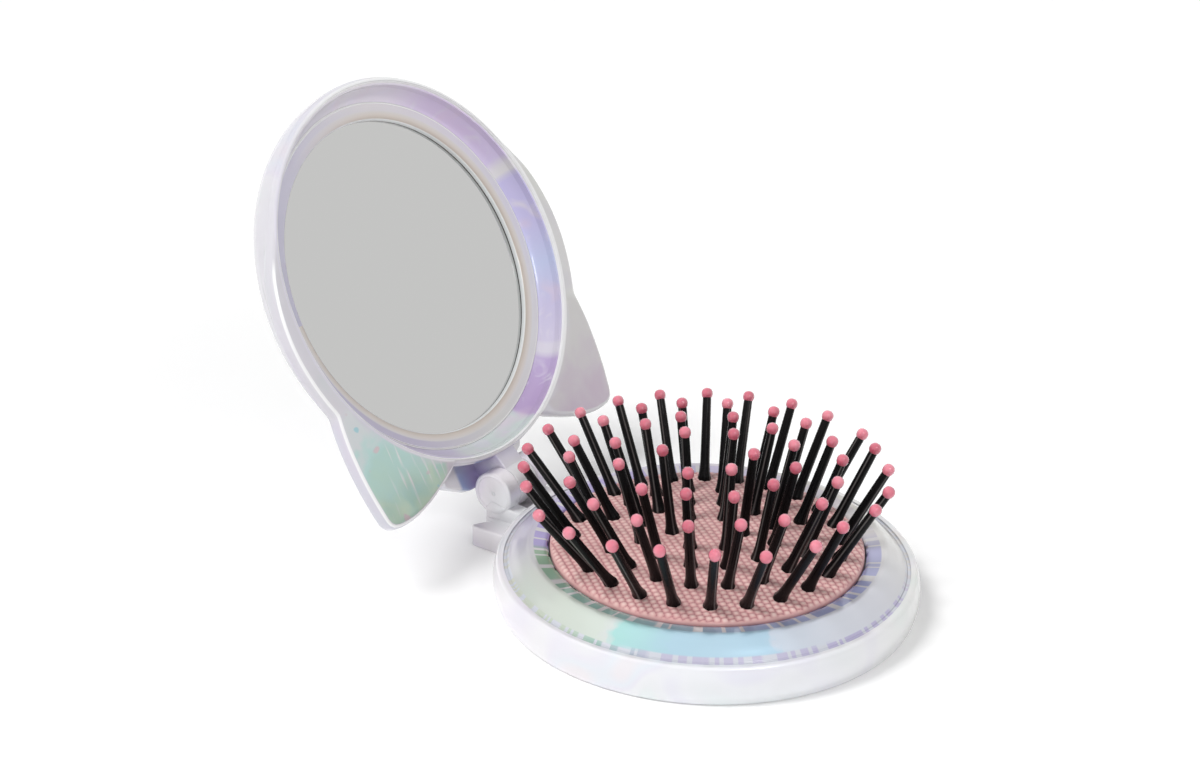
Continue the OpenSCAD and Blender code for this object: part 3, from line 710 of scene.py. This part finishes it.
def lid_reach(ear_out, cheek):
    """The lid's outline at its rim as radii for every half degree, from -180 up, in millimetres."""
    tip = polar(CASE_R + ear_out, 48.5)
    tip_r, turn_0, turn_1, leave = 2.8, 14, 82, 78
    start, full, end = -48, 10, 24.8
    points = []
    for i in range(25):
        a = mix(start, end, i / 24)
        share = (1 - math.cos(math.pi * min(1, max(0, (a - start) / (full - start))))) / 2
        points.append(polar(LID_R - 0.5 + (cheek + 0.5) * share, a))
    a, b = polar(LID_R + cheek, end), tip + polar(tip_r, turn_0)
    c, d = tip + polar(tip_r, turn_1), polar(LID_R - 1.9, 72)
    points += bezier([a, a + polar(7, leave), b - polar(7, turn_0 + 90), b], 24)
    points += [tip + polar(tip_r, mix(turn_0, turn_1, i / 12)) for i in range(13)]
    points += bezier([c, c + polar(8.5, turn_1 + 90), d + polar(10.5, 20), d], 24)
    known = sorted((math.degrees(math.atan2(p.y, p.x)), p.length) for p in points)
    radii = []
    for k in range(720):
        angle = -180 + k / 2
        folded = angle if -90 <= angle <= 90 else (180 - angle if angle > 90 else -180 - angle)
        radius = LID_R
        for (a0, r0), (a1, r1) in zip(known, known[1:]):
            if a0 <= folded <= a1 and a1 > a0:
                radius = max(radius, mix(r0, r1, (folded - a0) / (a1 - a0)))
        radii.append(radius)
    for _ in range(3):
        radii = [(radii[k - 1] + 2 * radii[k] + radii[(k + 1) % 720]) / 4 for k in range(720)]
    return radii


def oval(section, degrees):
    """The point at an angle on one of the ovals of the lid's section."""
    middle_r, middle_z, reach, rise = section
    turn = math.radians(degrees)
    return middle_r + reach * math.cos(turn), middle_z + rise * math.sin(turn)


def lid_rows():
    """The lid's section as rows (body radius, body height, share, plate inset, plate height).
    A share of None keeps the row on the body; from 0 to 1 it lies on the ear's face; 2 follows the
    ear's edge at the inset; 3 to 4 runs back over the ear's back to the body."""
    rows = [(0.0, 17.65, None, 0, 0), (20.0, 17.65, None, 0, 0), (36.3, 17.65, None, 0, 0)]
    rows += [(*oval(CAVITY_OVAL, 90 - 15 * i), None, 0, 0) for i in range(1, 7)]
    rows += [(39.5, 12.5, None, 0, 0), (40.2, 8.9, None, 0, 0), (RIM_IN_R, 8.75, None, 0, 0),
             (RIM_IN_R, 8.4, None, 0, 0), (RIM_IN_R + 0.03, 8.27, None, 0, 0)]
    for i, share in enumerate((0.0, 0.04, 0.2, 0.4, 0.6, 0.8, 0.94, 1.0)):
        rows.append((*oval(LIP_OVAL, -90 + 4 * i), share, 0, RIM_Z))
    for i in range(1, 7):
        b = math.radians(-90 + 15 * i)
        rows.append((*oval(LIP_OVAL, -62 + 10 * i), 2,
                     EAR_EDGE_R * (1.0 - math.cos(b)), RIM_Z + EAR_EDGE_R * (1 + math.sin(b))))
    for i, height in enumerate((9.5, 9.8, 10.1)):
        rows.append((41.15 + 0.08 * (i + 1), 9.15 + 0.1 * (i + 1), 2, 0, height))
    for i in range(1, 6):
        b = math.radians(18 * i)
        rows.append((*oval(DOME_OVAL, 2 * i), 2, EAR_EDGE_R * (1.0 - math.cos(b)),
                     EAR_BACK_Z - EAR_EDGE_R * (1 - math.sin(b))))
    rows += [(*oval(DOME_OVAL, 10 + 3 * i), 3 + i / 6, 1.0, EAR_BACK_Z) for i in range(1, 7)]
    rows += [(*oval(DOME_OVAL, 28 + 62 * i / 15), None, 0, 0) for i in range(1, 16)]
    for i in range(1, 9):
        x = DOME_OVAL[0] * (1 - i / 8)
        rows.append((x, 20.15 - 0.35 * (x / DOME_OVAL[0]) ** 2, None, 0, 0))
    return rows


class HAIRBRUSH_OT_lid_case(Operator):
    """Makes the lid's shell with its ears and cheeks, the hood and the middle knuckle"""
    bl_idname = "hairbrush.lid_case"
    bl_label = "Lid case"

    def execute(self, context):
        sizes = context.scene.hairbrush_case
        radii = lid_reach(sizes.ear_out / MM, sizes.cheek / MM)
        rows = lid_rows()
        bm = bmesh.new()
        tint = bm.verts.layers.float.new("ear_face")
        recess_shade = bm.verts.layers.float.new("hinge_recess_shade")
        line = bm.verts.layers.float.new("edge_highlight")
        verts = spin(bm, [row[:2] for row in rows], 360, closed=False)
        lookup = {(round(row[0], 3), round(row[1], 3)): row for row in rows}
        for v in verts:
            radius = math.hypot(v.co.x, v.co.y) / MM
            row = lookup.get((round(radius, 3), round(v.co.z / MM, 3)))
            if row is None:
                row = min(rows, key=lambda r: abs(r[0] - radius) + abs(r[1] - v.co.z / MM))
            body_r, body_z, share, inset, height = row
            if share is None or radius < 1:
                continue
            angle = math.degrees(math.atan2(v.co.y, v.co.x)) + 180
            k = int(angle * 2) % 720
            part = angle * 2 - int(angle * 2)
            reach = mix(radii[k], radii[(k + 1) % 720], part)
            slope = (radii[(k + 2) % 720] - radii[k - 2]) / (math.radians(2.0) * reach)
            lean = math.sqrt(1 + slope * slope)
            grown = reach - LID_R
            weight = ease(grown, 0.0, 1.6)
            ear = ease(reach, 44.3, 47.5)
            if share <= 1:
                plate_r, plate_z = mix(40.7, reach - EAR_EDGE_R * lean, share), height
                v[tint] = ease(reach, 44.3, 45.4) * ease(plate_r, 40.7, 41.4)
            elif share <= 2:
                plate_r, plate_z = reach - inset * lean, height
                # Marks the rounded front edge of the ears and cheeks, where a highlight is painted.
                v[line] = weight * (1 - ease(height, RIM_Z + 0.35, RIM_Z + 0.7))
            else:
                t = share - 3
                rise = mix(2.6, 0.5, ear)
                middle_r, middle_z, across, up = DOME_OVAL
                foot = math.asin(min(0.9, (EAR_BACK_Z + rise - middle_z) / up))
                foot_r = middle_r + across * math.cos(foot)
                plate_r = mix(reach - EAR_EDGE_R * lean, foot_r, t)
                plate_z = EAR_BACK_Z + rise * ease(t, 0.0, 1.0)
            new_r, new_z = mix(body_r, plate_r, weight), mix(body_z, plate_z, weight)
            v.co.x *= new_r / radius
            v.co.y *= new_r / radius
            v.co.z = new_z * MM
        hood = rounded([(-15, 36.5, 0), (15, 36.5, 0), (13, 43.1, 0.6), (6.8, 46.2, 0.9),
                        (-6.8, 46.2, 0.9), (-13, 43.1, 0.6)], 3)
        extruded(bm, hood, 15.65, 18.5, bevel=0.5)
        arm = [(39.8, 9.1), (45.4, 7.2), (48.0, 8.2), (48.0, 14.1), (45.6, 16.4), (39.8, 16.4)]
        extruded(bm, arm, -3.05, 3.05, along="X", bevel=0.3)
        # Marks the recess beside the knuckle, where shade is painted.
        for v in bm.verts:
            x, y, z = (c / MM for c in v.co)
            inside = ease(y, 38.0, 40.6) * ease(16.6, z, z + 0.8) * ease(z, 8.6, 9.4)
            v[recess_shade] = inside * (1 - ease(abs(x), 12.0, 15.0))
        barrel = [(1.1, -3.1, 0.15), (4.7, -3.1, 0.35), (4.7, 3.1, 0.35), (1.1, 3.1, 0.15)]
        spin(bm, rounded(barrel), HINGE_STEPS, matrix=along_hinge())
        lug = Matrix.Rotation(math.radians(OPEN_ANGLE), 3, "X")
        corners = [lug @ Vector((0, y, z)) for y, z in ((-1, -5.4), (1, -5.4), (1, 0), (-1, 0))]
        corners = [(c.y + HINGE_Y, c.z + HINGE_Z) for c in corners]
        extruded(bm, corners, -2.5, 2.5, along="X", bevel=0.2)
        bmesh.ops.transform(bm, matrix=opened(), verts=bm.verts)
        finish_piece(bm, "lid_case", pearl_case_plastic("pearl_abs_lid", True), "lid",
                     ["lid_shell"], "pearl_plastic")
        return {"FINISHED"}


class HAIRBRUSH_OT_lid_bowl(Operator):
    """Makes the lid's dished liner"""
    bl_idname = "hairbrush.lid_bowl"
    bl_label = "Lid liner"

    def execute(self, context):
        sizes = context.scene.hairbrush_case
        bm = bmesh.new()
        outline = [(RIM_IN_R - 0.01, 8.72), (RIM_IN_R - 0.01, 8.34), (RIM_IN_R - 0.06, 8.27)]
        outline += bezier([(40.1, 8.35), (39.7, 10.4), (38.6, 12.7), (37.3, 13.42)], 24)
        outline += [(37.28, 14.6), (38.3, 14.6), (38.5, 12.5), (39.35, 12.5), (39.6, 8.9)]
        spin(bm, outline, sizes.wall_steps, matrix=opened())
        finish_piece(bm, "lid_bowl", pearl_liner_plastic(), "lid", ["lid_liner"], "lilac_plastic")
        return {"FINISHED"}


class HAIRBRUSH_OT_mirror(Operator):
    """Makes the ring round the mirror and the glass with its bevelled edge"""
    bl_idname = "hairbrush.mirror"
    bl_label = "Mirror and ring"

    def execute(self, context):
        sizes = context.scene.hairbrush_case
        bm = bmesh.new()
        outline = [(37.26, 14.55), (37.26, 13.52)] + arc(37.08, 13.42, 0.18, 0, 100, 5)
        outline += bezier([(36.9, 13.28), (36.4, 13.4), (35.4, 13.5), (34.6, 13.7)], 8)
        outline += bezier([(34.6, 13.7), (34.0, 13.83), (33.62, 14.05), (33.6, 14.4)], 8)[1:]
        outline += [(33.6, 14.7), (33.6, 15.04), (34.9, 15.04), (34.9, 16.35), (35.78, 16.35),
                    (36.13, 15.45), (38.02, 15.45), (38.02, 14.62), (37.26, 14.62)]
        spin(bm, outline, sizes.wall_steps, matrix=opened())
        finish_piece(bm, "mirror_frame_ring", cream_ring_plastic(), "lid", ["mirror_ring"],
                     "cream_plastic")
        bm = bmesh.new()
        outline = [(0, 15.06), (16, 15.06), (34.3, 15.06), (34.55, 15.16), (34.7, 15.35),
                   (34.7, 16.35), (0, 16.35)]
        spin(bm, outline, sizes.wall_steps, closed=False, matrix=opened())
        finish_piece(bm, "mirror_pane", silvered_glass(), "lid", ["mirror_glass"],
                     "mirror_silver", 12)
        return {"FINISHED"}


def cushion_height(radius):
    """Height of the cushion's crowned top at a radius, in millimetres."""
    if radius <= CROWN_R:
        return CARRIER_Z + CROWN_Z - CROWN_DROP * (radius / CROWN_R) ** 2
    t = min(1.0, (radius - CROWN_R) / EDGE_RUN)
    return CARRIER_Z + EDGE_Z - EDGE_DROP * (1 - math.sqrt(max(0.0, 1 - t * t)))


class HAIRBRUSH_OT_cushion(Operator):
    """Makes the rubber cushion with its woven relief"""
    bl_idname = "hairbrush.cushion"
    bl_label = "Cushion"

    def execute(self, context):
        sizes = context.scene.hairbrush_pad
        bm = bmesh.new()
        bmesh.ops.create_grid(bm, x_segments=WEAVE_STEPS, y_segments=WEAVE_STEPS, size=1.0)
        weave = bm.verts.layers.float.new("weave")
        turn = Matrix.Rotation(math.radians(WEAVE_TURN), 2)
        cell = sizes.cell / MM
        relief = sizes.relief / MM
        for v in bm.verts:
            x, y = v.co.x, v.co.y
            flat = Vector((x * math.sqrt(1 - y * y / 2), y * math.sqrt(1 - x * x / 2)))
            flat = flat * (PAD_R - 0.05)
            u, w = (turn @ flat) / cell
            row = math.floor(w)
            fu = (u + 0.5 * (row % 2)) % 1.0
            fw = w - row
            bump = (math.sin(math.pi * fu) * math.sin(math.pi * fw)) ** 0.55
            fade = 1 - ease(flat.length, 30.7, 31.1)
            v[weave] = mix(0.55, bump, fade)
            lift = relief * (bump - 0.9) * fade
            v.co = Vector((flat.x, flat.y, cushion_height(flat.length) + lift)) * MM
        rim = [e for e in bm.edges if e.is_boundary]
        for depth in (9.9, 8.72):
            grown = bmesh.ops.extrude_edge_only(bm, edges=rim)["geom"]
            for v in (g for g in grown if isinstance(g, bmesh.types.BMVert)):
                v.co.z = depth * MM
            rim = [g for g in grown if isinstance(g, bmesh.types.BMEdge) and g.is_boundary]
        bmesh.ops.contextual_create(bm, geom=rim)
        piece = finish_piece(bm, "woven_cushion", woven_pink_rubber(), "pad", ["cushion_pad"],
                             "pink_rubber", 60)
        return {"FINISHED"}


def bristle_places(ring, spread, rng):
    """Where each bristle of a ring stands and which way it leans, as matrices in millimetres."""
    radius = RING_RADII[ring]
    count = BRISTLES_PER_STEP * (ring + 1)
    for i in range(count):
        turn = math.radians(RING_STARTS[ring] + 360 * i / count)
        toward_hinge = math.cos(turn - math.radians(HINGE_LEAN_TURN))
        lean = math.radians((OUTER_LEAN + HINGE_LEAN * toward_hinge) * radius / RING_RADII[-1])
        foot = Matrix.Translation((radius, 0, cushion_height(radius)))
        base = Matrix.Rotation(turn, 4, "Z") @ foot
        tilt = Matrix.Rotation(lean + rng.uniform(-1, 1) * spread, 4, "Y")
        sway = Matrix.Rotation(rng.uniform(-1, 1) * spread, 4, "X")
        yield base @ tilt @ sway @ Matrix.Rotation(rng.uniform(0, 1) * math.pi, 4, "Z")


class HAIRBRUSH_OT_bristles(Operator):
    """Makes the four rings of bristles and their ball tips"""
    bl_idname = "hairbrush.bristles"
    bl_label = "Bristles and tips"

    def execute(self, context):
        sizes = context.scene.hairbrush_pad
        nylon, resin = black_nylon(), pink_ball_resin()
        shaft = [(0, -1.2), (1.38, -1.2), (1.42, -0.05), (1.45, 0.12), (1.4, 0.3), (1.27, 0.8),
                 (1.14, 1.6), (1.05, 2.6), (1.0, 3.8), (0.97, 6.5), (0.94, 11.0), (0.9, 15.5),
                 (0.88, 17.6), (0.0, 17.6)]
        ball = [(0.0, -1.2), (0.44, -1.13), (0.85, -0.9), (1.11, -0.48), (1.21, 0.04), (1.15, 0.54),
                (0.9, 0.96), (0.49, 1.21), (0.0, 1.29)]
        for ring in range(4):
            rng = random.Random(sizes.seed + ring)
            places = list(bristle_places(ring, sizes.unevenness, rng))
            anchor_z, keep = RING_SQUASH[ring]
            for kind, outline, steps, material, slot, height in (
                    ("bristles", shaft, 14, nylon, "black_nylon", 0.0),
                    ("ball_tips", ball, 16, resin, "pink_plastic", BRISTLE_LENGTH)):
                bm = bmesh.new()
                # Marks two thin lines along each shaft, where the highlight is painted.
                shaft_highlight = bm.verts.layers.float.new("shaft_highlight")
                for there in places:
                    moved = there @ Matrix.Translation((0, 0, height))
                    scaled = Matrix.Scale(MM, 4) @ moved @ Matrix.Scale(1 / MM, 4)
                    back = scaled.inverted()
                    for v in spin(bm, outline, steps, closed=False, matrix=scaled):
                        local = back @ v.co
                        v[shaft_highlight] = abs(local.x / max(local.xy.length, 1e-7)) ** HIGHLIGHT_LINE_FINENESS
                name = f"{kind}_row_{ring + 1}"
                piece = finish_piece(bm, name, material, "pad", [f"{kind}_ring_{ring + 1}"],
                                     slot, 50)
                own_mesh(piece)
        return {"FINISHED"}


# The inner parts' nodes and slots, then each material's name, its darkest and palest colour, its
# roughness, and the width and depth of its grain in millimetres.
INNER_FINISHES = (
    ("pad_carrier", "white_plastic", "white_moulded_abs", "#E4E4E2", "#EFEFED", 0.45, 1.2, 0.03),
    ("push_button", "pink_plastic", "pink_moulded_abs", "#DD7F8F", "#E89AA6", 0.3, 1.5, 0.02),
    ("cushion_foam", "soft_foam", "open_cell_foam", "#D9C4BE", "#F0E2DC", 0.9, 0.5, 0.25),
    ("mirror_tape", "tape_grey", "grey_foam_tape", "#4E4E52", "#63636A", 0.8, 0.6, 0.08),
)


class HAIRBRUSH_OT_inner_parts(Operator):
    """Gives the carrier, the button, the foam and the tape their materials"""
    bl_idname = "hairbrush.inner_parts"
    bl_label = "Inner parts"

    def execute(self, context):
        for node, slot, *finish in INNER_FINISHES:
            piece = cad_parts[node]
            piece.data.materials.clear()
            piece.data.materials.append(plain_polymer(*finish))
        return {"FINISHED"}


# ---- Stage ----

def seen_directly(tree):
    """1 for rays that see a surface, also in a mirror or through glass, and 0 for its light."""
    rays = add(tree, "LightPath")
    seen = add(tree, "Math", {0: rays.outputs["Is Camera Ray"], 1: rays.outputs["Is Glossy Ray"]},
               operation="MAXIMUM")
    return add(tree, "Math", {0: seen, 1: rays.outputs["Is Transmission Ray"]},
               operation="MAXIMUM")


def camera_place():
    """The camera's place and turn: beside and above the pad, level but for a slight roll."""
    azimuth, elevation, roll = (math.radians(a) for a in VIEW_TURNS)
    back = Vector((math.sin(azimuth) * math.cos(elevation),
                   -math.cos(azimuth) * math.cos(elevation), math.sin(elevation)))
    right = Vector((math.cos(azimuth), math.sin(azimuth), 0))
    up = back.cross(right)
    right, up = (math.cos(roll) * right + math.sin(roll) * up,
                 math.cos(roll) * up - math.sin(roll) * right)
    middle = Vector((0, 0, 10)) * MM
    spot = middle - VIEW_REACH * MM * (-back + VIEW_ASIDE * right - VIEW_BELOW * up)
    turn = Matrix((right, up, back)).transposed().to_4x4()
    return Matrix.Translation(spot) @ turn


class HAIRBRUSH_OT_stage(Operator):
    """Makes the pale floor, the soft lamps, the world and the camera"""
    bl_idname = "hairbrush.stage"
    bl_label = "Stage"

    def execute(self, context):
        settings = context.scene.hairbrush_stage
        scene = context.scene
        scene.view_settings.view_transform = "Standard"
        bm = bmesh.new()
        bmesh.ops.create_grid(bm, x_segments=4, y_segments=4, size=3.0)
        mesh = bpy.data.meshes.new("floor")
        bm.to_mesh(mesh)
        bm.free()
        floor = bpy.data.objects.new("floor", mesh)
        scene.collection.objects.link(floor)
        # Matte white paper rolled out under the brush: no gloss, and it keeps a soft shadow.
        material, tree, shader = new_material("white_paper_sweep", {
            "Base Color": settings.floor_colour, "Roughness": 0.9, "Specular IOR Level": 0.1,
            "Emission Color": (1, 1, 1, 1)})
        glow = add(tree, "Math", {0: seen_directly(tree), 1: settings.floor_lift},
                   operation="MULTIPLY")
        feed(tree, shader, {"Emission Strength": glow})
        mesh.materials.append(material)

        world = bpy.data.worlds.new("studio")
        scene.world = world
        world.use_nodes = True
        tree = world.node_tree
        tree.nodes.clear()
        strength = add(tree, "MapRange", {"Value": seen_directly(tree), "To Max": 1.0,
                                          "To Min": settings.world_strength})
        light = add(tree, "Background", {"Color": (1, 1, 1, 1), "Strength": strength})
        add(tree, "OutputWorld", {0: light})

        for name, spot, kind, size, power in (
                ("overhead", (-0.40, 0.46, 1.0), "SUN", math.radians(26), settings.lamp_strength),
                ("fill", (-0.6, -0.75, 0.6), "SUN", math.radians(70), settings.lamp_strength * 0.3),
                ("spark", (-0.24, -0.46, 0.55), "AREA", 0.13, 0.55)):
            lamp = bpy.data.lights.new(name, kind)
            holder = bpy.data.objects.new(name, lamp)
            lamp.energy = power
            if kind == "SUN":
                lamp.angle = size
                holder.visible_glossy = False
            else:
                lamp.size = size
            holder.location = spot
            aim = Vector(LAMP_AIM) - Vector(spot)
            holder.rotation_euler = aim.to_track_quat("-Z", "Y").to_euler()
            scene.collection.objects.link(holder)

        camera = bpy.data.cameras.new("camera")
        camera.sensor_fit = "HORIZONTAL"
        camera.sensor_width = SENSOR_WIDTH
        camera.lens = SENSOR_WIDTH * FOCAL_PIXELS / FRAME_PIXELS
        camera.clip_start = 0.01
        camera.clip_end = 20.0
        holder = bpy.data.objects.new("camera", camera)
        holder.matrix_world = camera_place()
        scene.collection.objects.link(holder)
        scene.camera = holder
        return {"FINISHED"}


class HAIRBRUSH_PT_panel(Panel):
    """Lists the hairbrush's pieces and their sizes"""
    bl_idname = "HAIRBRUSH_PT_panel"
    bl_label = "Hairbrush"
    bl_space_type = "VIEW_3D"
    bl_region_type = "UI"
    bl_category = "Hairbrush"

    def draw(self, context):
        scene = context.scene
        for group in (scene.hairbrush_case, scene.hairbrush_pad, scene.hairbrush_stage):
            box = self.layout.box()
            for name in group.__annotations__:
                box.prop(group, name)
        for step in STEPS:
            self.layout.operator(step.bl_idname)


GROUPS = (("hairbrush_case", HairbrushCase), ("hairbrush_pad", HairbrushPad),
          ("hairbrush_stage", HairbrushStage))
STEPS = (HAIRBRUSH_OT_stage, HAIRBRUSH_OT_base_case, HAIRBRUSH_OT_bezel, HAIRBRUSH_OT_hinge_pin,
         HAIRBRUSH_OT_lid_case, HAIRBRUSH_OT_lid_bowl, HAIRBRUSH_OT_mirror, HAIRBRUSH_OT_cushion,
         HAIRBRUSH_OT_bristles, HAIRBRUSH_OT_inner_parts)


def register():
    for name, group in GROUPS:
        bpy.utils.register_class(group)
        setattr(bpy.types.Scene, name, PointerProperty(type=group))
    for cls in STEPS + (HAIRBRUSH_PT_panel,):
        bpy.utils.register_class(cls)


def unregister():
    for cls in reversed(STEPS + (HAIRBRUSH_PT_panel,)):
        bpy.utils.unregister_class(cls)
    for name, group in reversed(GROUPS):
        delattr(bpy.types.Scene, name)
        bpy.utils.unregister_class(group)


def main():
    register()
    for step in STEPS:
        area, name = step.bl_idname.split(".")
        getattr(getattr(bpy.ops, area), name)()


if __name__ == "__main__":
    main()
